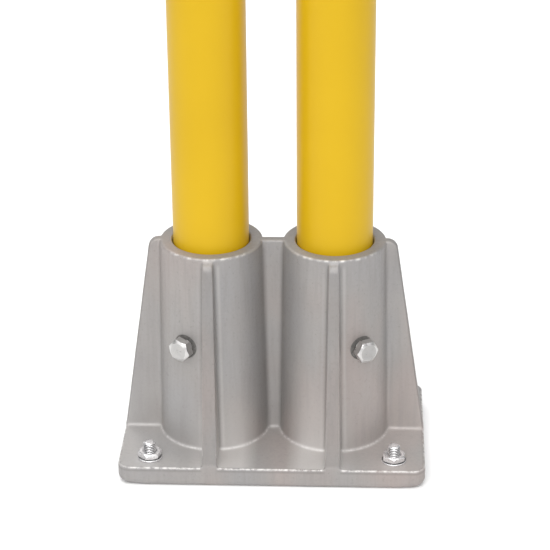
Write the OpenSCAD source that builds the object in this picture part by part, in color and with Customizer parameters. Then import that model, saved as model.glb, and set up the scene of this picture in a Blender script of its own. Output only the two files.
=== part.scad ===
// Twin-post bollard base: one cast double-socket foot, two tube posts clamped by hex set bolts,
// and four deck anchors. Millimetres, +Z up. The origin is the middle of the foot's underside,
// +X runs from the left post to the right post and -Y is the side with the set bolts.

/* [Posts] */
// Distance between the two post axes
post_spacing = 98; // [90:1:140]
// Outside diameter of each post tube
post_od = 60.3; // [48.3:0.1:76.1]
// Wall thickness of each post tube
post_wall = 3.2; // [2:0.1:5]
// Height of the cap tops above the deck
overall_height = 600; // [300:10:1200]
// Thickness of the straight edge of each cap
cap_edge = 2.5; // [1.5:0.5:5]
// Rise of the cap's dome above its edge
cap_dome = 5; // [2:0.5:12]
// Depth of the cap's plug inside the tube
plug_depth = 24; // [12:1:40]

/* [Foot plate] */
// Width of the plate, along X
plate_w = 246; // [220:1:320]
// Depth of the plate, along Y
plate_d = 146; // [130:1:200]
// Thickness of the plate
plate_t = 17; // [8:0.5:25]
// Radius of the plate's corners in plan
plate_corner_r = 10; // [4:0.5:20]
// Rounding of the plate's lower edge, less than half the corner radius
plate_foot_r = 4.5; // [1:0.5:8]

/* [Sockets] */
// Height of the sockets above the plate
socket_h = 169; // [100:1:220]
// Outside diameter of a socket at its rim
rim_od = 81.6; // [74:0.2:96]
// Outside diameter of a socket at the plate
foot_od = 88; // [78:0.5:100]
// Diameter of the bore that takes the post
bore_d = 62; // [60.6:0.1:70]
// Thickness of the ledge below the post
ledge_t = 10; // [5:0.5:14]
// Diameter of the drain hole through the ledge
drain_d = 32; // [10:1:50]
// Rounding of the socket's rim
rim_round = 2; // [0.5:0.5:4]
// Radius of the fillet round each socket's foot
foot_fillet = 3.5; // [2:0.5:10]

/* [Webs and ribs] */
// Width of the webs at the rim
web_top_t = 8; // [5:0.5:14]
// Width of the webs at the plate
web_foot_t = 10.5; // [6:0.5:18]
// How far the side webs lean in over the socket's height
web_lean = 25; // [10:1:40]
// Rounding of the side webs' upper corner
web_round = 7; // [3:0.5:16]
// Width of the front and rear ribs at the rim
rib_top_t = 8; // [4:0.5:12]
// Width of the front and rear ribs at the plate
rib_foot_t = 12; // [6:0.5:18]
// How far a rib stands out from the rim
rib_proud = 5; // [2:0.5:12]
// How far the rib's top stays below the rim
rib_drop = 2.5; // [0:0.5:10]
// Rounding of the rib's upper corner
rib_round = 6.5; // [1:0.5:8]

/* [Set bolts] */
// Height of the set bolts above the plate
set_bolt_z = 91; // [50:1:140]
// Angle of the left set bolt, turned outward from the front
left_bolt_turn = 28; // [0:1:60]
// Angle of the right set bolt, turned outward from the front
right_bolt_turn = 32; // [0:1:60]
// Thread diameter of the set bolts
set_bolt_d = 10; // [6:1:12]
// Length of the set bolts under the head
set_bolt_l = 15; // [12:1:25]
// Width across the flats of the bolt heads and nuts
hex_af = 17; // [10:1:19]
// Height of the set bolt's head
head_h = 7.5; // [4:0.1:9]
// Diameter of the shallow seat under the head
spot_d = 21; // [18:1:30]
// Depth of the seat into the socket wall
spot_depth = 1.2; // [0.5:0.1:3]

/* [Anchors] */
// Distance between the anchors along X
anchor_dx = 196; // [170:1:260]
// Distance between the anchors along Y
anchor_dy = 112; // [100:1:180]
// Thread diameter of the anchors
anchor_d = 10; // [8:1:12]
// Clearance hole for each anchor
anchor_hole_d = 11; // [9:0.5:14]
// Length of each anchor below the deck
anchor_depth = 54; // [40:1:90]
// Length of each anchor above the plate
anchor_rise = 14; // [10:0.5:30]
// Diameter of the anchors' plain shank
shank_d = 9; // [7:0.1:11]
// Outside diameter of the washers
washer_od = 20; // [16:1:30]
// Thickness of the washers
washer_t = 1.5; // [1:0.5:4]
// Height of the nuts
nut_h = 4.8; // [4:0.1:10]

/* [Shown piece] */
// Name of the piece to show, or all

/* [Hidden] */
$fn = 96;
eps = 0.01;
rim_z = plate_t + socket_h;
rim_r = rim_od / 2;
foot_r = foot_od / 2;
bore_r = bore_d / 2;
post_r = post_od / 2;
post_x = post_spacing / 2;
tube_in_r = post_r - post_wall;
tube_top = overall_height - cap_edge - cap_dome;
dome_r = (post_r * post_r + cap_dome * cap_dome) / (2 * cap_dome);
set_z = plate_t + set_bolt_z;
set_wall_r = foot_r + (rim_r - foot_r) * set_bolt_z / socket_h;
set_tip_gap = 0.1;
set_head_r = post_r + set_tip_gap + set_bolt_l;
thread_gap = 0.05;
hex_r = hex_af / 2 / cos(30);
anchor_turns = [[15, 30], [-12, 22]];
neck_r = 3.7;
clip_top = 12;
cone_h = 7;

// A hexagon of the given height with both of its faces chamfered when asked
module hex_body(h, chamfer_low) {
  intersection() {
    cylinder(r = hex_r, h = h, $fn = 6);
    union() {
      cylinder(r1 = chamfer_low ? hex_af / 2 - 0.2 : hex_r, r2 = hex_r + 0.2, h = 1);
      translate([0, 0, 1]) cylinder(r = hex_r + 0.2, h = h - 2);
      translate([0, 0, h - 1]) cylinder(r1 = hex_r + 0.2, r2 = hex_af / 2 - 0.2, h = 1);
    }
  }
}

// Places a child at each of the four anchors, turned as that anchor was tightened
module at_anchors() {
  for (i = [0, 1])
    for (j = [0, 1])
      translate([(i - 0.5) * anchor_dx, (j - 0.5) * anchor_dy, 0])
        rotate([0, 0, anchor_turns[j][i]]) children();
}

// Turns +Z into the set bolt's axis, pointing out of the socket, side -1 left and 1 right
module on_set_axis(side) {
  translate([side * post_x, 0, set_z])
    rotate([0, 0, -90 + (side < 0 ? -left_bolt_turn : right_bolt_turn)])
      rotate([0, 90, 0]) children();
}

// The plate's outline pulled in all round by a margin and raised between two heights
module plate_slab(margin, z_low, z_high) {
  x = plate_w / 2 - plate_corner_r;
  y = plate_d / 2 - plate_corner_r;
  r = plate_corner_r - margin;
  translate([0, 0, z_low]) linear_extrude(height = z_high - z_low) union() {
    square([plate_w - 2 * margin, 2 * y], center = true);
    square([2 * x, plate_d - 2 * margin], center = true);
    for (sx = [-1, 1]) for (sy = [-1, 1]) translate([sx * x, sy * y]) circle(r = r);
  }
}

// The plate, its lower edge rounded all round
module plate_blank() {
  x = plate_w / 2 - plate_corner_r;
  y = plate_d / 2 - plate_corner_r;
  r = plate_foot_r;
  plate_slab(0, r, plate_t);
  plate_slab(r, 0, r + 1);
  for (s = [-1, 1]) {
    translate([-x, s * (plate_d / 2 - r), r]) rotate([0, 90, 0]) cylinder(r = r, h = 2 * x);
    translate([s * (plate_w / 2 - r), y, r]) rotate([90, 0, 0]) cylinder(r = r, h = 2 * y);
  }
  for (sx = [-1, 1]) for (sy = [-1, 1])
    translate([sx * x, sy * y, 0]) rotate_extrude()
      translate([plate_corner_r - r, r]) circle(r = r);
}

// One tapered socket with its rounded rim and the fillet round its foot
module socket_blank() {
  translate([0, 0, plate_t]) rotate_extrude() union() {
    polygon([
      [0, -1], [foot_r, -1], [foot_r, 0], [rim_r, socket_h - rim_round],
      [rim_r - rim_round, socket_h - rim_round], [rim_r - rim_round, socket_h], [0, socket_h]
    ]);
    translate([rim_r - rim_round, socket_h - rim_round]) circle(r = rim_round);
    difference() {
      translate([foot_r - 3, -1]) square([foot_fillet + 3, foot_fillet + 1]);
      translate([foot_r + foot_fillet, foot_fillet]) circle(r = foot_fillet);
    }
  }
}

// Cross-section of the webs seen from the end, narrow at the rim and wide at the plate
module draft_section(top_t, foot_t) {
  polygon([
    [-foot_t / 2, plate_t - 1], [foot_t / 2, plate_t - 1],
    [top_t / 2, rim_z], [-top_t / 2, rim_z]
  ]);
}

// The upright wall that runs through both sockets, side edge to side edge
module long_web() {
  x_foot = plate_w / 2;
  x_top = x_foot - web_lean;
  x_nose = x_top + web_lean * web_round / socket_h;
  intersection() {
    translate([0, plate_d / 2, 0]) rotate([90, 0, 0]) linear_extrude(height = plate_d) union() {
      polygon([
        [-x_foot, plate_t - 1], [x_foot, plate_t - 1], [x_foot, plate_t],
        [x_nose, rim_z - web_round], [x_nose - web_round, rim_z],
        [web_round - x_nose, rim_z], [-x_nose, rim_z - web_round], [-x_foot, plate_t]
      ]);
      for (s = [-1, 1])
        translate([s * (x_nose - web_round), rim_z - web_round]) circle(r = web_round);
    }
    translate([-plate_w / 2, 0, 0]) rotate([90, 0, 90]) linear_extrude(height = plate_w)
      draft_section(web_top_t, web_foot_t);
  }
}

// One rib pair, at the front and the rear of a socket
module rib_pair() {
  y_foot = plate_d / 2;
  y_top = rim_r + rib_proud;
  top = rim_z - rib_drop;
  lean = (y_foot - y_top) / socket_h;
  y_nose = y_top + lean * (rib_round + rib_drop);
  intersection() {
    translate([-rib_foot_t, 0, 0]) rotate([90, 0, 90]) linear_extrude(height = 2 * rib_foot_t)
      union() {
        polygon([
          [-y_foot, plate_t - 1], [y_foot, plate_t - 1], [y_foot, plate_t],
          [y_nose, top - rib_round], [y_nose - rib_round, top],
          [rib_round - y_nose, top], [-y_nose, top - rib_round], [-y_foot, plate_t]
        ]);
        for (s = [-1, 1])
          translate([s * (y_nose - rib_round), top - rib_round]) circle(r = rib_round);
      }
    translate([0, plate_d / 2, 0]) rotate([90, 0, 0]) linear_extrude(height = plate_d)
      draft_section(rib_top_t, rib_foot_t);
  }
}

module base_casting() {
  color([0.63, 0.61, 0.59]) difference() {
    union() {
      plate_blank();
      for (s = [-1, 1]) translate([s * post_x, 0, 0]) socket_blank();
      long_web();
      for (s = [-1, 1]) translate([s * post_x, 0, 0]) rib_pair();
    }
    for (s = [-1, 1]) translate([s * post_x, 0, 0]) {
      translate([0, 0, ledge_t]) cylinder(r = bore_r, h = rim_z);
      translate([0, 0, rim_z - 1]) cylinder(r1 = bore_r, r2 = bore_r + 1.1, h = 1.1);
      translate([0, 0, -1]) cylinder(d = drain_d, h = rim_z);
    }
    for (s = [-1, 1]) on_set_axis(s) {
      cylinder(r = set_bolt_d / 2 + thread_gap, h = rim_od);
      translate([0, 0, set_wall_r - spot_depth]) cylinder(d = spot_d, h = rim_r);
    }
    for (i = [-1, 1]) for (j = [-1, 1])
      translate([i * anchor_dx / 2, j * anchor_dy / 2, -1])
        cylinder(d = anchor_hole_d, h = plate_t + 2);
  }
}

module post_tube() {
  color([0.89, 0.66, 0.05]) translate([0, 0, ledge_t]) difference() {
    cylinder(r = post_r, h = tube_top - ledge_t);
    translate([0, 0, -1]) cylinder(r = tube_in_r, h = tube_top - ledge_t + 2);
  }
}

module left_post_tube() {
  translate([-post_x, 0, 0]) post_tube();
}

module right_post_tube() {
  translate([post_x, 0, 0]) post_tube();
}

// A push-in cap: domed head flush with the tube, hollow plug with three gripping rings
module post_cap() {
  color([0.07, 0.07, 0.08]) translate([0, 0, tube_top]) {
    difference() {
      union() {
        cylinder(r = post_r, h = cap_edge);
        translate([0, 0, cap_edge]) intersection() {
          translate([0, 0, cap_dome - dome_r]) sphere(r = dome_r);
          cylinder(r = post_r, h = cap_dome + 1);
        }
        translate([0, 0, -plug_depth]) cylinder(r = tube_in_r - 1, h = plug_depth + eps);
        for (k = [1 : 3])
          translate([0, 0, -k * plug_depth / 4]) cylinder(r = tube_in_r - 0.02, h = 1.6);
      }
      translate([0, 0, -plug_depth - 1]) cylinder(r = tube_in_r - 3.5, h = plug_depth);
    }
  }
}

module left_post_cap() {
  translate([-post_x, 0, 0]) post_cap();
}

module right_post_cap() {
  translate([post_x, 0, 0]) post_cap();
}

// Hex set bolt with its tip close against the tube and its head standing off the seat
module set_bolt(side, turn) {
  color([0.78, 0.79, 0.8]) on_set_axis(side) {
    translate([0, 0, set_head_r - set_bolt_l + 1])
      cylinder(d = set_bolt_d, h = set_bolt_l - 1 + eps);
    translate([0, 0, set_head_r - set_bolt_l])
      cylinder(r1 = set_bolt_d / 2 - 1, r2 = set_bolt_d / 2, h = 1);
    translate([0, 0, set_head_r]) rotate([0, 0, turn]) hex_body(head_h, false);
  }
}

module left_set_bolt() {
  set_bolt(-1, 18);
}

module right_set_bolt() {
  set_bolt(1, 28);
}

// Deck anchors: threaded end, plain shank, waist for the clip and a cone at the foot
module anchor_studs() {
  color([0.74, 0.75, 0.76]) at_anchors() {
    translate([0, 0, plate_t + anchor_rise - 1.2])
      cylinder(r1 = anchor_d / 2, r2 = anchor_d / 2 - 1.2, h = 1.2);
    cylinder(d = anchor_d, h = plate_t + anchor_rise - 1.2 + eps);
    translate([0, 0, clip_top + cone_h - anchor_depth])
      cylinder(d = shank_d, h = anchor_depth - clip_top - cone_h + eps);
    translate([0, 0, cone_h - anchor_depth]) cylinder(r = neck_r, h = clip_top + eps);
    translate([0, 0, 1 - anchor_depth])
      cylinder(r1 = anchor_d / 2, r2 = neck_r, h = cone_h - 1 + eps);
    translate([0, 0, -anchor_depth]) cylinder(d = anchor_d, h = 1 + eps);
  }
}

// Split rings on the anchors' waists
module anchor_expansion_clips() {
  color([0.6, 0.61, 0.62]) at_anchors()
    translate([0, 0, cone_h - anchor_depth + 0.8]) difference() {
      cylinder(d = anchor_d, h = clip_top - 1.6);
      translate([0, 0, -1]) cylinder(r = neck_r + 0.1, h = clip_top);
      translate([0, -0.9, -1]) cube([anchor_d, 1.8, clip_top]);
    }
}

module anchor_washers() {
  color([0.76, 0.77, 0.78]) at_anchors() translate([0, 0, plate_t]) difference() {
    cylinder(d = washer_od, h = washer_t);
    translate([0, 0, -1]) cylinder(d = anchor_d + 0.5, h = washer_t + 2);
  }
}

module anchor_nuts() {
  color([0.76, 0.77, 0.78]) at_anchors() translate([0, 0, plate_t + washer_t]) difference() {
    hex_body(nut_h, true);
    translate([0, 0, -1]) cylinder(r = anchor_d / 2 + 0.02, h = nut_h + 2);
  }
}

base_casting();
left_post_tube();
right_post_tube();
left_post_cap();
right_post_cap();
left_set_bolt();
right_set_bolt();
anchor_studs();
anchor_expansion_clips();
anchor_washers();
anchor_nuts();
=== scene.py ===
import math

import bpy
import numpy as np
from mathutils import Matrix, Vector


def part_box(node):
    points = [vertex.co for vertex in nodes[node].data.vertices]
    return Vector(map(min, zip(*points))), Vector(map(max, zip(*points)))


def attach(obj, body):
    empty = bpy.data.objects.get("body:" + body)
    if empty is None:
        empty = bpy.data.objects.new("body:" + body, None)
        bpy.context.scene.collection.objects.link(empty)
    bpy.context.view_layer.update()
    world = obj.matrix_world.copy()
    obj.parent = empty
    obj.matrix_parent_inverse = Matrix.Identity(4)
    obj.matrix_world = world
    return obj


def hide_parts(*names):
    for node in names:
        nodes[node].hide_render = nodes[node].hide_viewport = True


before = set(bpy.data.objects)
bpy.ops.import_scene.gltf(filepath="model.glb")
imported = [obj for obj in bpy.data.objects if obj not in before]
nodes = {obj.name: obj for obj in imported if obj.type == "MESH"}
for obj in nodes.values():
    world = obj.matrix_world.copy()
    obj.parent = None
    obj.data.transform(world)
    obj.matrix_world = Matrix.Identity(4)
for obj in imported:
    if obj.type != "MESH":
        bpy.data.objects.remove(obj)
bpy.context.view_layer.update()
MM = 0.001


# ---------------------------------------------------------------- dimensions, read from the frame
def box_mm(node):
    lo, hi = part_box(node)
    return np.array(lo) / MM, np.array(hi) / MM


base_lo, base_hi = box_mm("base_casting")
tube_lo, tube_hi = box_mm("right_post_tube")
cap_lo, cap_hi = box_mm("right_post_cap")
washer_lo, washer_hi = box_mm("anchor_washers")
nut_lo, nut_hi = box_mm("anchor_nuts")
stud_lo, stud_hi = box_mm("anchor_studs")

PLATE_W = base_hi[0] - base_lo[0]
PLATE_D = base_hi[1] - base_lo[1]
RIM_Z = base_hi[2]
PLATE_T = washer_lo[2]
POST_X = (tube_lo[0] + tube_hi[0]) / 2
POST_R = (tube_hi[0] - tube_lo[0]) / 2
TUBE_FOOT = tube_lo[2]
TUBE_TOP = tube_hi[2]
WASHER_R = 10.0
ANCHOR_X = washer_hi[0] - WASHER_R
ANCHOR_Y = washer_hi[1] - WASHER_R
TUBE_WALL = 3.2
SOCKET_H = RIM_Z - PLATE_T
RIM_R, FOOT_R, BORE_R, DRAIN_R = 40.8, 44.0, 31.0, 16.0
ANCHOR_HOLE_R = 5.5
PLATE_CORNER, PLATE_FOOT = 10.0, 4.5
WEB_TOP, WEB_FOOT, WEB_LEAN, WEB_ROUND = 8.0, 10.5, 25.0, 7.0
RIB_TOP, RIB_FOOT, RIB_PROUD, RIB_DROP, RIB_ROUND = 8.0, 12.0, 5.0, 2.5, 6.5
SET_RISE, SET_LEN, HEAD_H, SEAT_R, SEAT_DEEP = 91.0, 15.0, 7.5, 10.0, 1.2
SET_TURN = {-1: -28.0, 1: 32.0}
SET_Z = PLATE_T + SET_RISE
SET_TIP_GAP = 0.1
HEX_AF, THREAD_R, PITCH = 17.0, 5.0, 1.5
THREAD_GAP, THREAD_DEPTH = 0.05, 0.92
HEX_EDGE = 0.35
SET_HEAD_R = POST_R + SET_TIP_GAP + SET_LEN
# how round the casting's outer edges are, and how wide its walls blend into one another
PLATE_EDGE, SOCKET_EDGE, WEB_EDGE, RIB_EDGE = 1.2, 1.8, 1.5, 1.2
WEB_BLEND, RIB_BLEND, PLATE_BLEND = 4.0, 2.6, 3.2
WEB_INSET = 0.2
SKIN_WAVE = 0.05
FLOOR_LIFT = 0.3
# the camera: angles in degrees, distance and aim in post spacings, lens in mm on a 36 mm sensor
VIEW_ELEVATION, VIEW_TURN, VIEW_ROLL = 25.72, 2.67, -0.49
VIEW_DISTANCE, VIEW_AIM_X, VIEW_AIM_Z = 16.61, 0.014, 1.395
VIEW_LENS = 133.3964


# ---------------------------------------------------------------- small helpers
def mesh_object(name, verts_mm, faces):
    me = bpy.data.meshes.new(name)
    me.from_pydata((np.asarray(verts_mm) * MM).tolist(), [], [list(f) for f in faces])
    me.validate()
    me.update()
    me.shade_smooth()
    ob = bpy.data.objects.new(name, me)
    bpy.context.scene.collection.objects.link(ob)
    return ob


def apply_modifiers(ob):
    dg = bpy.context.evaluated_depsgraph_get()
    me = bpy.data.meshes.new_from_object(ob.evaluated_get(dg))
    ob.modifiers.clear()
    ob.data = me


def sharp_by_angle(ob, degrees):
    me = ob.data
    me.shade_smooth()
    me.set_sharp_from_angle(angle=math.radians(degrees))


def lathe(name, profile, segments=128, closed=True, shape=None):
    """Turns a profile of (radius, z) about Z. shape(r, z, angle) may alter the radii."""
    prof = np.array(profile, float)
    ang = np.linspace(0, 2 * np.pi, segments, endpoint=False)
    r = np.repeat(prof[:, :1], segments, 1)
    z = np.repeat(prof[:, 1:2], segments, 1)
    if shape is not None:
        r, z = shape(r, z, ang[None, :])
    v = np.stack([r * np.cos(ang), r * np.sin(ang), z], 2).reshape(-1, 3)
    n, faces = len(prof), []
    for i in range(n if closed else n - 1):
        a, b = i * segments, ((i + 1) % n) * segments
        for k in range(segments):
            k2 = (k + 1) % segments
            faces.append((a + k, a + k2, b + k2, b + k))
    if not closed:
        faces.append(tuple(range(segments))[::-1])
        faces.append(tuple(range((n - 1) * segments, n * segments)))
    return mesh_object(name, v, faces)


def arc(cx, cz, r, a0, a1, n=6):
    t = np.radians(np.linspace(a0, a1, n))
    return [(cx + r * math.cos(x), cz + r * math.sin(x)) for x in t]


def placed(ob, matrix):
    ob.data.transform(matrix)
    return ob


def joined(name, obs):
    for o in bpy.context.selected_objects:
        o.select_set(False)
    for o in obs:
        o.select_set(True)
    bpy.context.view_layer.objects.active = obs[0]
    with bpy.context.temp_override(active_object=obs[0], selected_editable_objects=obs,
                                   object=obs[0], selected_objects=obs):
        bpy.ops.object.join()
    obs[0].name = name
    obs[0].data.name = name
    return obs[0]


def radius_and_height(ob):
    """Each vertex's distance from the object's own Z axis, and its height, in mm."""
    co = np.zeros(len(ob.data.vertices) * 3)
    ob.data.vertices.foreach_get("co", co)
    return np.hypot(co[0::3], co[1::3]) / MM, co[2::3] / MM


def set_attribute(ob, label, values):
    at = ob.data.attributes.new(label, "FLOAT", "POINT")
    at.data.foreach_set("value", values.astype(np.float32))


# ---------------------------------------------------------------- materials
def new_material(name):
    m = bpy.data.materials.new(name)
    m.use_nodes = True
    nt = m.node_tree
    nt.nodes.clear()
    out = nt.nodes.new("ShaderNodeOutputMaterial")
    bsdf = nt.nodes.new("ShaderNodeBsdfPrincipled")
    nt.links.new(bsdf.outputs[0], out.inputs[0])
    return m, nt, bsdf


def node(nt, kind, **values):
    n = nt.nodes.new(kind)
    for k, v in values.items():
        if k in n.inputs:
            n.inputs[k].default_value = v
        else:
            setattr(n, k, v)
    return n


def noise(nt, coords, scale, detail, rough):
    n = node(nt, "ShaderNodeTexNoise", Scale=scale, Detail=detail, Roughness=rough)
    nt.links.new(coords, n.inputs["Vector"])
    return n.outputs["Fac"]


def ramp(nt, fac, stops):
    n = nt.nodes.new("ShaderNodeValToRGB")
    e = n.color_ramp.elements
    while len(e) < len(stops):
        e.new(0.5)
    for el, (p, c) in zip(e, stops):
        el.position, el.color = p, (*c, 1)
    nt.links.new(fac, n.inputs[0])
    return n.outputs[0]


def mix(nt, a, b, fac):
    n = node(nt, "ShaderNodeMix", data_type="RGBA")
    for sock, v in ((n.inputs[6], a), (n.inputs[7], b), (n.inputs[0], fac)):
        if isinstance(v, tuple):
            sock.default_value = (*v, 1)
        else:
            nt.links.new(v, sock)
    return n.outputs[2]


def map_range(nt, v, a, b, c, d):
    n = node(nt, "ShaderNodeMapRange")
    for i, x in enumerate((a, b, c, d)):
        n.inputs[i + 1].default_value = x
    nt.links.new(v, n.inputs[0])
    return n.outputs[0]


def bump(nt, height, distance, strength, under=None):
    n = node(nt, "ShaderNodeBump", Strength=strength, Distance=distance)
    nt.links.new(height, n.inputs["Height"])
    if under is not None:
        nt.links.new(under, n.inputs["Normal"])
    return n.outputs[0]


def coords(nt):
    return nt.nodes.new("ShaderNodeTexCoord").outputs["Object"]


def stretched(nt, vector, scale):
    n = node(nt, "ShaderNodeMapping", Scale=scale)
    nt.links.new(vector, n.inputs["Vector"])
    return n.outputs[0]


def attribute(nt, name):
    return node(nt, "ShaderNodeAttribute", attribute_name=name).outputs["Fac"]


def multiply(nt, a, b):
    n = node(nt, "ShaderNodeMath", operation="MULTIPLY")
    nt.links.new(a, n.inputs[0])
    nt.links.new(b, n.inputs[1])
    return n.outputs[0]


def cast_material():
    """Sand-cast aluminium: cloudy tone, faint upright streaks, pits, edges lighter from wear and painted
    highlight, painted shade under and beside them, and painted light low on the sockets.
    """
    m, nt, b = new_material("cast_aluminium")
    c = coords(nt)
    cloud = noise(nt, c, 20, 3, 0.55)
    streak = noise(nt, stretched(nt, c, (1.0, 1.0, 0.08)), 260, 3, 0.6)
    grain = noise(nt, c, 420, 3, 0.6)
    fine = noise(nt, c, 1500, 2, 0.6)
    tone = ramp(nt, cloud, [(0.3, (0.287, 0.271, 0.262)), (0.7, (0.325, 0.309, 0.298))])
    hue = noise(nt, stretched(nt, c, (1.0, 1.0, 0.5)), 14, 2, 0.5)
    tone = mix(nt, tone, (0.345, 0.297, 0.28), map_range(nt, hue, 0.48, 0.64, 0.0, 0.8))
    tone = mix(nt, tone, (0.295, 0.29, 0.292), map_range(nt, hue, 0.5, 0.34, 0.0, 0.8))
    tone = mix(nt, tone, (0.23, 0.216, 0.209), map_range(nt, streak, 0.45, 0.75, 0.0, 0.35))
    tone = mix(nt, tone, (0.18, 0.17, 0.163), map_range(nt, grain, 0.62, 0.82, 0.0, 0.5))
    # painted light: lighter colour low on the sockets and a painted highlight beside the ribs
    tone = mix(nt, tone, (0.56, 0.54, 0.525), attribute(nt, "painted_light"))
    # painted shade: darker under the plate's edge, in the rib creases and along the webs' edges; the rib
    # fronts are darker too
    tone = mix(nt, tone, (0.13, 0.122, 0.118), attribute(nt, "painted_shade"))
    # lighter edges, part wear and part painted highlight, broken into patches
    patchiness = map_range(nt, noise(nt, c, 300, 3, 0.7), 0.4, 0.58, 0.05, 1.0)
    wear_and_highlight = multiply(nt, attribute(nt, "wear_and_highlight"), patchiness)
    tone = mix(nt, tone, (0.72, 0.70, 0.685), wear_and_highlight)
    nt.links.new(tone, b.inputs["Base Color"])
    b.inputs["Metallic"].default_value = 0.35
    nt.links.new(map_range(nt, grain, 0.3, 0.7, 0.46, 0.62), b.inputs["Roughness"])
    pits = node(nt, "ShaderNodeTexVoronoi", Scale=240.0)
    nt.links.new(c, pits.inputs["Vector"])
    pit = map_range(nt, pits.outputs["Distance"], 0.05, 0.28, 0.0, 1.0)
    n1 = bump(nt, pit, 0.00010, 0.4)
    n2 = bump(nt, grain, 0.00025, 0.5, n1)
    n3 = bump(nt, fine, 0.0001, 0.4, n2)
    nt.links.new(n3, b.inputs["Normal"])
    return m


def machined_material():
    m, nt, b = new_material("machined_aluminium")
    c = coords(nt)
    grain = noise(nt, c, 900, 2, 0.5)
    tone = ramp(nt, grain, [(0.3, (0.66, 0.65, 0.64)), (0.7, (0.74, 0.73, 0.72))])
    nt.links.new(tone, b.inputs["Base Color"])
    b.inputs["Metallic"].default_value = 0.9
    b.inputs["Roughness"].default_value = 0.38
    return m


def seat_material():
    """The ring of casting under a set bolt's head, coloured dark: painted shade of the gap under the head,
    with some dirt.
    """
    m, nt, b = new_material("seat_shade_and_dirt")
    c = coords(nt)
    cloud = noise(nt, c, 500, 3, 0.6)
    tone = ramp(nt, cloud, [(0.3, (0.10, 0.096, 0.09)), (0.7, (0.21, 0.20, 0.19))])
    nt.links.new(tone, b.inputs["Base Color"])
    b.inputs["Metallic"].default_value = 0.1
    b.inputs["Roughness"].default_value = 0.7
    nt.links.new(bump(nt, cloud, 0.0001, 0.5), b.inputs["Normal"])
    return m


def paint_material():
    m, nt, b = new_material("yellow_powder_coat")
    c = coords(nt)
    peel = noise(nt, c, 700, 2, 0.5)
    cloud = noise(nt, c, 9, 2, 0.5)
    tone = ramp(nt, cloud, [(0.3, (0.54, 0.335, 0.003)), (0.7, (0.575, 0.36, 0.004))])
    nt.links.new(tone, b.inputs["Base Color"])
    b.inputs["Roughness"].default_value = 0.4
    b.inputs["Specular IOR Level"].default_value = 0.25
    nt.links.new(bump(nt, peel, 0.00005, 0.35), b.inputs["Normal"])
    return m


def zinc_material(name, low, high, rough, metal):
    """Bright zinc, with painted shade from a vertex attribute darkening thread grooves, the washers just
    under the nuts and the set bolts' faces.
    """
    m, nt, b = new_material(name)
    c = coords(nt)
    cloud = noise(nt, c, 160, 3, 0.6)
    grain = noise(nt, c, 1400, 2, 0.6)
    tone = ramp(nt, cloud, [(0.3, low), (0.7, high)])
    # painted shade from the vertex attribute: darker thread grooves, washers under the nuts' edges and head
    # faces
    tone = mix(nt, tone, (0.08, 0.078, 0.075), attribute(nt, "painted_zinc_shade"))
    nt.links.new(tone, b.inputs["Base Color"])
    b.inputs["Metallic"].default_value = metal
    nt.links.new(map_range(nt, cloud, 0.3, 0.7, rough - 0.05, rough + 0.07), b.inputs["Roughness"])
    nt.links.new(bump(nt, grain, 0.00004, 0.3), b.inputs["Normal"])
    return m


def plastic_material():
    m, nt, b = new_material("cap_polyethylene")
    c = coords(nt)
    grain = noise(nt, c, 1100, 3, 0.6)
    tone = ramp(nt, grain, [(0.3, (0.014, 0.014, 0.015)), (0.7, (0.022, 0.022, 0.024))])
    nt.links.new(tone, b.inputs["Base Color"])
    b.inputs["Roughness"].default_value = 0.5
    nt.links.new(bump(nt, grain, 0.00012, 0.5), b.inputs["Normal"])
    return m


MAT = {
    "cast": cast_material(),
    "machined": machined_material(),
    "seat": seat_material(),
    "paint": paint_material(),
    "bolt": zinc_material("zinc_bolt", (0.53, 0.52, 0.515), (0.64, 0.63, 0.62), 0.3, 0.9),
    "anchor": zinc_material("zinc_anchor", (0.76, 0.75, 0.76), (0.92, 0.91, 0.92), 0.24, 0.8),
    "clip": zinc_material("clip_steel", (0.42, 0.42, 0.42), (0.52, 0.52, 0.52), 0.4, 1.0),
    "plastic": plastic_material(),
}


def dress(ob, body, replaced, material):
    ob.data.materials.clear()
    ob.data.materials.append(MAT[material])
    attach(ob, body)
    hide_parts(replaced)


# ---------------------------------------------------------------- the casting, as one rounded body
def smin(a, b, k):
    """The smaller of a and b, blended over a width k; where they are equal it is k / 4 less."""
    h = np.maximum(k - np.abs(a - b), 0) / k
    return np.minimum(a, b) - h * h * k / 4


def corner(a, b, r):
    """The distance to where a and b are both inside, with its edge rounded to radius r."""
    u, v = np.maximum(a + r, 0), np.maximum(b + r, 0)
    return np.sqrt(u * u + v * v) + np.minimum(np.maximum(a, b) + r, 0) - r


def plate_side(x, y):
    """How far a point lies outside the plate's rounded outline, negative within it."""
    qx = np.abs(x) - (PLATE_W / 2 - PLATE_CORNER)
    qy = np.abs(y) - (PLATE_D / 2 - PLATE_CORNER)
    return np.hypot(np.maximum(qx, 0), np.maximum(qy, 0)) + np.minimum(np.maximum(qx, qy), 0) - PLATE_CORNER


def leaning_wall(along, across, z, foot, top, foot_t, top_t, top_z, top_round, soft):
    """An upright wall whose outer edge leans in from foot to top, thinner at the rim than at the plate."""
    h = (z - PLATE_T) / SOCKET_H
    lean = foot - top
    outer = (along - (foot - lean * h)) * math.cos(math.atan2(lean, SOCKET_H))
    profile = corner(outer, z - top_z, top_round)
    half = (foot_t + (top_t - foot_t) * np.clip(h, 0, 1)) / 2
    return corner(profile, across - half, soft)


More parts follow.
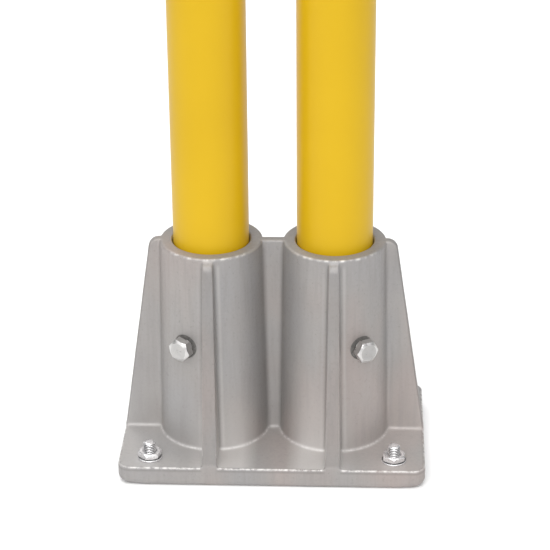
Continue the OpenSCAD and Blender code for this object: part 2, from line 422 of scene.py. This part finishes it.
def casting_field(x, y, z):
    ax, ay = np.abs(x), np.abs(y)
    h = (z - PLATE_T) / SOCKET_H
    # the lower edge is rounder at the plate's corners than along its sides
    near_corner = np.clip((ax - PLATE_W / 2 + 22) / 18, 0, 1) * np.clip((ay - PLATE_D / 2 + 22) / 18, 0, 1)
    plate = corner(plate_side(x, y), z - PLATE_T, PLATE_EDGE)
    plate = corner(plate, -z, PLATE_FOOT + 3.5 * near_corner)
    wall = FOOT_R + (RIM_R - FOOT_R) * np.clip(h, -0.1, 1.1)
    socket = corner(np.hypot(ax - POST_X, y) - wall, z - RIM_Z, SOCKET_EDGE)
    web = leaning_wall(
        ax, ay, z, PLATE_W / 2 - WEB_INSET, PLATE_W / 2 - WEB_LEAN, WEB_FOOT, WEB_TOP,
        RIM_Z, WEB_ROUND, WEB_EDGE)
    rib = leaning_wall(
        ay, np.abs(ax - POST_X), z, PLATE_D / 2, RIM_R + RIB_PROUD, RIB_FOOT, RIB_TOP,
        RIM_Z - RIB_DROP, RIB_ROUND, RIB_EDGE)
    # the blend would lift the tops where both are level, so it eases off there and is cut at the rim
    body = np.maximum(smin(socket, web, np.clip((RIM_Z - z) / 1.5, 1.0, WEB_BLEND)), z - RIM_Z)
    body = smin(body, rib, RIB_BLEND)
    upper = np.maximum(body, PLATE_T - 8 - z)
    return np.maximum(smin(plate, upper, PLATE_BLEND), plate_side(x, y))


def surface_net(f, lo, hi, step):
    """The surface where f is zero, as points and quads: one point in each grid cell that it crosses."""
    n = np.ceil((hi - lo) / step).astype(int) + 1
    axes = [lo[i] + step * np.arange(n[i]) for i in range(3)]
    x, y, z = np.meshgrid(*[a.astype(np.float32) for a in axes], indexing="ij", sparse=True)
    v = f(x, y, z).astype(np.float32)
    s = v < 0
    cell = np.zeros(tuple(n - 1), np.uint8)
    for dx in (0, 1):
        for dy in (0, 1):
            for dz in (0, 1):
                cell += s[dx:n[0] - 1 + dx, dy:n[1] - 1 + dy, dz:n[2] - 1 + dz]
    on = (cell > 0) & (cell < 8)
    idx = np.argwhere(on)
    corners = np.array([(a, b, c) for a in (0, 1) for b in (0, 1) for c in (0, 1)])
    vals = np.stack([v[idx[:, 0] + c[0], idx[:, 1] + c[1], idx[:, 2] + c[2]] for c in corners], 1)
    total, count = np.zeros((len(idx), 3)), np.zeros(len(idx))
    for i in range(8):
        for j in range(i + 1, 8):
            d = corners[j] - corners[i]
            if np.abs(d).sum() != 1:
                continue
            a, b = vals[:, i].astype(float), vals[:, j].astype(float)
            cross = (a < 0) != (b < 0)
            t = np.where(cross, a / np.where(cross, a - b, 1), 0)
            p = corners[i] + t[:, None] * d
            total += p * cross[:, None]
            count += cross
    pts = lo + step * (idx + total / count[:, None])
    number = -np.ones(tuple(n - 1), np.int64)
    number[tuple(idx.T)] = np.arange(len(idx))
    faces = []
    for axis in range(3):
        u, w = [k for k in range(3) if k != axis]
        a = [slice(0, n[k]) for k in range(3)]
        b = list(a)
        a[axis], b[axis] = slice(0, n[axis] - 1), slice(1, n[axis])
        change = s[tuple(a)] != s[tuple(b)]
        e = np.argwhere(change)
        e = e[(e[:, u] > 0) & (e[:, w] > 0) & (e[:, u] < n[u] - 1) & (e[:, w] < n[w] - 1)]
        quad = []
        for du, dw in ((1, 1), (0, 1), (0, 0), (1, 0)):
            q = e.copy()
            q[:, u] -= du
            q[:, w] -= dw
            quad.append(number[tuple(q.T)])
        quad = np.stack(quad, 1)
        flip = s[tuple(e.T)] if axis != 1 else ~s[tuple(e.T)]
        quad[~flip] = quad[~flip][:, ::-1]
        faces.append(quad)
    return pts, np.concatenate(faces)


def gradient(f, p, d=0.05):
    g = []
    for k in range(3):
        q, r = p.copy(), p.copy()
        q[:, k] += d
        r[:, k] -= d
        g.append((f(*q.T) - f(*r.T)) / (2 * d))
    return np.stack(g, 1)


def quad_object(name, pts, quads):
    me = bpy.data.meshes.new(name)
    me.vertices.add(len(pts))
    me.vertices.foreach_set("co", (pts * MM).astype(np.float32).ravel())
    me.loops.add(quads.size)
    me.loops.foreach_set("vertex_index", quads.astype(np.int32).ravel())
    me.polygons.add(len(quads))
    me.polygons.foreach_set("loop_start", np.arange(0, quads.size, 4, dtype=np.int32))
    me.update(calc_edges=True)
    me.validate()
    me.shade_smooth()
    ob = bpy.data.objects.new(name, me)
    bpy.context.scene.collection.objects.link(ob)
    return ob


def cast_skin():
    """The casting's surface before it is bored, as points and quads."""
    step = 0.85
    margin = 2.6
    lo = np.array([-PLATE_W / 2 - margin, -PLATE_D / 2 - margin, -margin])
    hi = np.array([PLATE_W / 2 + margin, PLATE_D / 2 + margin, RIM_Z + margin])
    pts, quads = surface_net(casting_field, lo, hi, step)
    for _ in range(2):
        g = gradient(casting_field, pts)
        d = casting_field(*pts.T)
        shift = np.clip(d / np.maximum((g * g).sum(1), 0.2), -0.5, 0.5)
        pts = pts - g * shift[:, None]
    g = gradient(casting_field, pts)
    normal = g / np.maximum(np.linalg.norm(g, axis=1, keepdims=True), 1e-6)
    # slow waviness of a sand-cast skin, none on the rim and the underside
    x, y, z = pts.T
    wave = (
        np.sin(x / 7.3 + 0.6 * np.sin(z / 9.1)) * np.sin(z / 8.2 + 1.3 * np.sin(y / 11.0))
        + 0.6 * np.sin(x / 3.1 + z / 4.3 + 2.0 * np.sin(y / 5.7)) * np.sin(y / 3.7 - z / 5.1)
    )
    keep = np.clip((RIM_Z - 1 - z) / 6, 0, 1) * np.clip(z / 3, 0, 1)
    inside = np.clip((PLATE_W / 2 - np.abs(x)) / 3, 0, 1) * np.clip((PLATE_D / 2 - np.abs(y)) / 3, 0, 1)
    return pts, pts + normal * (SKIN_WAVE * wave * keep * inside)[:, None], quads


def surface_marks(x, y, z):
    """How much wear and painted highlight, painted shade and painted light the casting gets at each point,
    from 0 to 1.
    """
    # lighter along the plate's upper edge, the rims and the sockets' foot, part wear and part painted
    # highlight; painted shade just under the plate's edge
    side = plate_side(x, y)
    post = np.hypot(np.abs(x) - POST_X, y)
    off_rib = np.abs(np.abs(x) - POST_X) - (RIB_FOOT + (RIB_TOP - RIB_FOOT) * (z - PLATE_T) / SOCKET_H) / 2
    plate_edge = np.exp(-((side + 0.35) ** 2 + (z - PLATE_T + 0.35) ** 2) / 0.75)
    beside_rib = np.maximum(np.clip((off_rib + 0.5) / 1.5, 0, 1), np.abs(y) < PLATE_D / 2 - 3)
    corner_x = np.maximum(np.abs(x) - PLATE_W / 2 + 14, 0)
    corner_y = np.maximum(np.abs(y) - PLATE_D / 2 + 14, 0)
    corner_far = np.hypot(corner_x, corner_y)
    plate_edge *= beside_rib * np.clip((17.5 - corner_far) / 4, 0, 1)
    rim_edge = np.exp(-((post - RIM_R + 0.4) ** 2 + (z - RIM_Z + 0.4) ** 2) / 0.9)
    # the rims' line of wear and painted highlight is broken into patches round each socket, differently on
    # each
    turn = np.arctan2(y, np.abs(x) - POST_X) + 0.8 * np.sign(x)
    patches = np.clip(0.6 + 0.9 * np.sin(11 * turn + 1.7) * np.sin(29 * turn + 0.4), 0.05, 1.3)
    rim_edge *= patches * np.clip((np.abs(y) - 20) / 10, 0.1, 1)
    foot_line = np.exp(-((post - FOOT_R - 1.0) ** 2 + (z - PLATE_T - 0.9) ** 2) / 0.5)
    wear_and_highlight = np.clip(plate_edge + 0.7 * rim_edge + 0.6 * foot_line, 0, 1)
    under_edge = np.exp(-(((z - PLATE_T + 2.5) / 1.0) ** 2)) * np.clip((side + 1.6) / 1.0, 0, 1) * beside_rib
    above = np.clip((z - PLATE_T - 1) / 3, 0, 1) * np.clip((RIM_Z - 4 - z) / 4, 0, 1)
    off_wall = post - (FOOT_R + (RIM_R - FOOT_R) * (z - PLATE_T) / SOCKET_H)
    crease = np.exp(-(((off_rib - 0.6) / 0.9) ** 2)) * np.clip(1 - np.abs(off_wall) / 1.6, 0, 1) * above
    rib_face = np.clip(-off_rib / 1.0, 0, 1) * np.clip((off_wall - 0.5) / 1.0, 0, 1) * above
    web_lean = (WEB_LEAN - WEB_INSET) * (z - PLATE_T) / SOCKET_H
    web_line = np.abs(x) - (PLATE_W / 2 - WEB_INSET - web_lean)
    web_edge = np.clip((web_line + 1.4) / 0.8, 0, 1) * np.clip((z - PLATE_T - 3) / 3, 0, 1)
    # painted shade under the plate's edge, in the creases beside the ribs and along the webs' outer edges;
    # the rib fronts are darker too
    painted_shade = np.clip(0.5 * web_edge + 0.35 * under_edge + 0.5 * crease + 0.3 * rib_face, 0, 1)
    # painted light: lighter colour low on the sockets' inner halves, standing in for light bounced there,
    # and a painted highlight beside the ribs, stronger on each rib's right
    low_wall = np.exp(-np.maximum(z - PLATE_T, 0) / 32) * np.clip((z - PLATE_T + 1) / 1, 0, 1)
    inner = np.clip((np.abs(x) - 8) / 16, 0.2, 1) * np.clip((POST_X + 28 - np.abs(x)) / 26, 0.35, 1)
    right_of_rib = np.where(x - np.sign(x) * POST_X > 0, 1.0, 0.4)
    strip = np.exp(-(((off_rib - 3.8) / 1.1) ** 2)) * np.clip(1 - np.abs(off_wall) / 1.6, 0, 1) * above
    painted_light = 0.9 * low_wall * inner * (side < -2) * (1 - rib_face) + 0.3 * right_of_rib * strip
    return {"wear_and_highlight": wear_and_highlight, "painted_shade": painted_shade, "painted_light": np.clip(painted_light, 0, 1)}


def build_casting():
    smooth_pts, pts, quads = cast_skin()
    ob = quad_object("base_casting_body", pts, quads)
    for label, values in surface_marks(*smooth_pts.T).items():
        set_attribute(ob, label, values)
    ob.data.materials.append(MAT["cast"])
    return ob


def cutter(profile, matrix, segments=128, material="machined"):
    c = lathe("cut", profile, segments, closed=False)
    c.data.materials.append(MAT[material])
    return placed(c, matrix)


def move(x, y, z):
    return Matrix.Translation(Vector((x, y, z)) * MM)


def set_axis(side):
    """Turns +Z into the set bolt's axis, out of the socket on that side."""
    return (
        move(side * POST_X, 0, SET_Z)
        @ Matrix.Rotation(math.radians(-90 + SET_TURN[side]), 4, "Z")
        @ Matrix.Rotation(math.radians(90), 4, "Y")
    )


casting = build_casting()
bores, bolt_holes = [], []
seat = FOOT_R + (RIM_R - FOOT_R) * SET_RISE / SOCKET_H - SEAT_DEEP
for s in (-1, 1):
    bores.append(cutter([
        (DRAIN_R, -1), (DRAIN_R, TUBE_FOOT - 0.6), (DRAIN_R + 0.6, TUBE_FOOT), (BORE_R, TUBE_FOOT),
        (BORE_R, RIM_Z - 0.9), (BORE_R + 1.2, RIM_Z + 0.3), (BORE_R + 1.2, RIM_Z + 4),
    ], move(s * POST_X, 0, 0)))
    bolt_holes.append(cutter([
        (THREAD_R + THREAD_GAP, 20), (THREAD_R + THREAD_GAP, seat - 0.8), (THREAD_R + 0.85, seat),
        (SEAT_R, seat), (SEAT_R, seat + 12),
    ], set_axis(s), 64, "seat"))
for i in (-1, 1):
    for j in (-1, 1):
        hole = [(ANCHOR_HOLE_R, -3), (ANCHOR_HOLE_R, PLATE_T + 3)]
        bores.append(cutter(hole, move(i * ANCHOR_X, j * ANCHOR_Y, 0), 64))
# the bolt holes run into the bores, and cutters that overlap can't share one tool
for group in (bores, bolt_holes):
    tool = joined("casting_cuts", group)
    mod = casting.modifiers.new("cut", "BOOLEAN")
    mod.operation, mod.solver, mod.object = "DIFFERENCE", "MANIFOLD", tool
    mod.material_mode = "TRANSFER"
    apply_modifiers(casting)
    bpy.data.objects.remove(tool)
casting.data.set_sharp_from_angle(angle=math.radians(40))
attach(casting, "foot")
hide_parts("base_casting")

# ---------------------------------------------------------------- posts and caps
in_r = POST_R - TUBE_WALL
for side, name in ((-1, "left"), (1, "right")):
    tube = lathe(name + "_post_tube_body", [
        *arc(POST_R - 0.7, TUBE_FOOT + 0.7, 0.7, -90, 0),
        *((POST_R, TUBE_FOOT + up) for up in (120, 240, 360)),
        *arc(POST_R - 0.5, TUBE_TOP - 0.5, 0.5, 0, 90),
        *arc(in_r + 0.4, TUBE_TOP - 0.4, 0.4, 90, 180, 4),
        *arc(in_r + 0.4, TUBE_FOOT + 0.4, 0.4, 180, 270, 4),
    ], 160)
    sharp_by_angle(tube, 50)
    placed(tube, move(side * POST_X, 0, 0))
    dress(tube, name + "_post", name + "_post_tube", "paint")
    # low dome: edge, crown and the plug with its gripping rings
    edge_h = 2.5
    dome_h = cap_hi[2] - TUBE_TOP - edge_h
    big = (POST_R ** 2 + dome_h ** 2) / (2 * dome_h)
    crown = []
    for a in np.linspace(0.0, 1.0, 16):
        r = (POST_R - 0.9) * (1 - a)
        crown.append((max(r, 0.02), TUBE_TOP + edge_h + dome_h - big + math.sqrt(big ** 2 - r ** 2)))
    low = cap_lo[2]
    plug = [(in_r - 3.5, low + 0.3), (in_r - 3.2, low), (in_r - 1.6, low), (in_r - 1.0, low + 0.8)]
    for k in (3, 2, 1):
        zc = TUBE_TOP - k * 6.0
        plug += [(in_r - 1.0, zc), (in_r - 0.1, zc + 0.3), (in_r - 0.05, zc + 1.2), (in_r - 1.0, zc + 1.6)]
    cap = lathe(name + "_post_cap_body", [
        (0.02, TUBE_TOP - 1.0), (in_r - 3.5, TUBE_TOP - 1.0), *plug,
        (in_r - 1.0, TUBE_TOP), (POST_R - 0.5, TUBE_TOP + 0.02),
        *arc(POST_R - 0.5, TUBE_TOP + 0.52, 0.5, -90, 0, 4),
        *arc(POST_R - 1.3, TUBE_TOP + edge_h - 1.2, 1.3, 0, 70, 7), *crown,
    ], 128, closed=False)
    sharp_by_angle(cap, 40)
    placed(cap, move(side * POST_X, 0, 0))
    dress(cap, name + "_post", name + "_post_cap", "plastic")


# ---------------------------------------------------------------- threads, bolts and nuts
def thread_shape(r, z, ang):
    """Cuts a helical groove into every radius near the thread's own."""
    phase = (z / PITCH - ang / (2 * np.pi)) % 1.0
    tri = np.abs(phase - 0.5) * 2
    cut = THREAD_DEPTH * np.clip((tri - 0.12) / 0.72, 0, 1)
    return np.minimum(r, THREAD_R - cut), z + 0 * ang


def hex_shape(r, z, ang):
    """Brings every radius in to the hexagon's flats."""
    a = ang % (np.pi / 3) - np.pi / 6
    flat = HEX_AF / 2 / np.cos(a)
    return smin(r, flat + 0 * r, HEX_EDGE), z + 0 * ang


def threaded_rod(name, z0, z1, tip_low=False):
    """A thread from z0 to z1, chamfered at the top and, with tip_low, at the bottom too."""
    steps = int((z1 - z0) / (PITCH / 8))
    prof = []
    for i in range(steps + 1):
        z = z0 + (z1 - z0) * i / steps
        r = min(THREAD_R, THREAD_R - 1.2 + z1 - z)
        if tip_low:
            r = min(r, THREAD_R - 1.0 + z - z0)
        prof.append((r, z))
    prof = [(0.02, z0), (prof[0][0] * 0.6, z0), *prof, (prof[-1][0] * 0.6, z1), (0.02, z1)]
    rod = lathe(name, prof, 64, closed=False, shape=thread_shape)
    radius, z = radius_and_height(rod)
    inner = (z > z0 + 1.5) & (z < z1 - 1.3)
    # painted shade in the thread's grooves
    groove = np.clip((THREAD_R - 0.2 - radius) / (0.5 * THREAD_DEPTH), 0, 0.92)
    set_attribute(rod, "painted_zinc_shade", np.where(inner, groove, 0))
    sharp_by_angle(rod, 55)
    return rod


def hex_solid(name, z0, h, bore=None, low_chamfer=True, face=0.94):
    """Hexagon with the round chamfer a turned hexagon has. bore cuts a hole with a countersink."""
    outer = HEX_AF / 2 / math.cos(math.radians(30)) + 0.3
    rf = HEX_AF / 2 * face
    chamfer_h = (outer - rf) * math.tan(math.radians(30))
    if low_chamfer:
        prof = [(rf + (outer - rf) * i / 6, z0 + chamfer_h * i / 6) for i in range(7)]
        low_end = z0 + chamfer_h
    else:
        prof = [(outer, z0)]
        low_end = z0
    high = z0 + h - chamfer_h
    prof += [(outer, low_end + (high - low_end) * i / 4) for i in range(1, 4)]
    prof += [(rf + (outer - rf) * (6 - i) / 6, high + chamfer_h * i / 6) for i in range(7)]
    if bore:
        prof += [(bore + 1.0, z0 + h), (bore, z0 + h - 0.9), (bore, z0 + 0.9), (bore + 0.9, z0)]
        ob = lathe(name, prof, 192, closed=True, shape=hex_shape)
    else:
        top = [(rf * 0.97, z0 + h), (rf * 0.5, z0 + h), (0.02, z0 + h)]
        ob = lathe(name, [(0.02, z0), (rf * 0.5, z0), *prof, *top], 192, closed=False, shape=hex_shape)
    sharp_by_angle(ob, 22)
    return ob


# the last number is how dark each head's face is, set against the photo
for side, name, turn, face_shade in ((-1, "left", 18, 0.28), (1, "right", 28, 0.42)):
    rod = threaded_rod("rod", SET_HEAD_R - SET_LEN, SET_HEAD_R + 0.4, tip_low=True)
    head = hex_solid("head", SET_HEAD_R + 0.3, HEAD_H - 0.3, low_chamfer=False, face=0.8)
    ring = lathe("ring", [
        (0.02, SET_HEAD_R), (HEX_AF / 2 - 0.5, SET_HEAD_R),
        (HEX_AF / 2 - 0.4, SET_HEAD_R + 0.32), (0.02, SET_HEAD_R + 0.32),
    ], 96, closed=False)
    sharp_by_angle(ring, 30)
    radius, z = radius_and_height(head)
    # painted shade on each head's face, darker on the right bolt
    on_face = (z > SET_HEAD_R + HEAD_H - 0.01) & (radius < 0.39 * HEX_AF)
    set_attribute(head, "painted_zinc_shade", np.where(on_face, face_shade, 0))
    head.data.transform(Matrix.Rotation(math.radians(turn), 4, "Z"))
    bolt = joined(name + "_set_bolt_body", [head, rod, ring])
    placed(bolt, set_axis(side))
    dress(bolt, name + "_clamp", name + "_set_bolt", "bolt")

studs, nuts, washers = [], [], []
for j, turns in ((-1, (15, 30)), (1, (-12, 22))):
    for i, turn in zip((-1, 1), turns):
        spin = move(i * ANCHOR_X, j * ANCHOR_Y, 0) @ Matrix.Rotation(math.radians(turn), 4, "Z")
        rod = threaded_rod("stud", 0.0, stud_hi[2])
        tip = stud_lo[2]
        shank = lathe("shank", [
            (0.02, tip), (4.4, tip), (5.0, tip + 0.6), (5.0, tip + 1.2), (3.7, tip + 7.0),
            (3.7, tip + 19.0), (4.5, tip + 19.8), (4.5, -0.5), (4.3, 0.2), (0.02, 0.2),
        ], 48, closed=False)
        sharp_by_angle(shank, 30)
        studs += [placed(rod, spin), placed(shank, spin)]
        nut = hex_solid("nut", nut_lo[2], nut_hi[2] - nut_lo[2], bore=THREAD_R + THREAD_GAP)
        nuts.append(placed(nut, spin))
        low, high = washer_lo[2], washer_hi[2]
        washer = lathe("washer", [
            (5.3, low + 0.1), (5.4, low), (WASHER_R - 0.3, low), (WASHER_R, low + 0.3),
            (WASHER_R, high - 0.3), (WASHER_R - 0.15, high - 0.08), (WASHER_R - 0.4, high),
            (WASHER_R - 0.6, high), (5.5, high), (5.25, high - 0.2),
        ], 96)
        sharp_by_angle(washer, 40)
        radius, _ = radius_and_height(washer)
        # painted shade on the washer just under the nut's edge
        set_attribute(washer, "painted_zinc_shade", np.clip((WASHER_R - 0.25 - radius) / 0.3, 0, 0.8))
        washers.append(placed(washer, spin))
dress(joined("anchor_studs_body", studs), "foot", "anchor_studs", "anchor")
dress(joined("anchor_nuts_body", nuts), "foot", "anchor_nuts", "anchor")
dress(joined("anchor_washers_body", washers), "foot", "anchor_washers", "anchor")
clips = nodes["anchor_expansion_clips"]
clips.data.materials.clear()
clips.data.materials.append(MAT["clip"])


# ---------------------------------------------------------------- camera
def aim_camera():
    c = float(2 * POST_X * MM)
    elev, turn, roll = (math.radians(a) for a in (VIEW_ELEVATION, VIEW_TURN, VIEW_ROLL))
    dist = VIEW_DISTANCE * c
    target = Vector((VIEW_AIM_X * c, 0, VIEW_AIM_Z * c + PLATE_T * MM))
    back = Vector((math.sin(turn) * math.cos(elev), -math.cos(turn) * math.cos(elev), math.sin(elev)))
    right = (-back).cross(Vector((0, 0, 1))).normalized()
    up = right.cross(-back)
    r = math.cos(roll) * right + math.sin(roll) * up
    u = -math.sin(roll) * right + math.cos(roll) * up
    data = bpy.data.cameras.new("camera")
    data.sensor_width, data.lens = 36.0, VIEW_LENS
    data.clip_start, data.clip_end = 0.05, 50
    cam = bpy.data.objects.new("camera", data)
    bpy.context.scene.collection.objects.link(cam)
    m = Matrix.Identity(4)
    for k in range(3):
        m[k][0], m[k][1], m[k][2], m[k][3] = r[k], u[k], back[k], (target + dist * back)[k]
    cam.matrix_world = m
    bpy.context.scene.camera = cam


aim_camera()

# ---------------------------------------------------------------- floor and light
# a hair above the underside, so the two faces never lie in one plane
bpy.ops.mesh.primitive_plane_add(size=14, location=(0, 0, FLOOR_LIFT * MM))
floor = bpy.context.object
floor.name = "floor"
floor_paint, _, shader = new_material("pale_floor")
shader.inputs["Base Color"].default_value = (0.93, 0.93, 0.93, 1)
shader.inputs["Roughness"].default_value = 0.9
floor.data.materials.append(floor_paint)

world = bpy.data.worlds.new("studio")
bpy.context.scene.world = world
world.use_nodes = True
bg = world.node_tree.nodes["Background"]
bg.inputs[0].default_value = (1, 1, 1, 1)
bg.inputs[1].default_value = 0.28


def lamp(name, loc, size, power, toward=(0, 0, 0.15)):
    data = bpy.data.lights.new(name, "AREA")
    data.shape, data.size, data.energy = "SQUARE", size, power
    ob = bpy.data.objects.new(name, data)
    bpy.context.scene.collection.objects.link(ob)
    ob.location = loc
    ob.rotation_euler = (Vector(toward) - Vector(loc)).to_track_quat("-Z", "Y").to_euler()


def soft_sun(name, toward, strength, spread):
    data = bpy.data.lights.new(name, "SUN")
    data.energy, data.angle = strength, math.radians(spread)
    ob = bpy.data.objects.new(name, data)
    bpy.context.scene.collection.objects.link(ob)
    ob.rotation_euler = Vector(toward).to_track_quat("-Z", "Y").to_euler()


soft_sun("overhead", (0.05, 0.1, -1.0), 1.7, 60)
soft_sun("front", (0.03, 0.8, -0.6), 2.1, 50)
lamp("left_box", (-1.6, -1.1, 1.3), 1.2, 7)
lamp("right_box", (1.5, -0.6, 1.1), 0.9, 3)
lamp("back_box", (-0.8, 1.5, 2.2), 1.2, 14)

scene = bpy.context.scene
scene.view_settings.view_transform = "Standard"
scene.view_settings.look = "None"
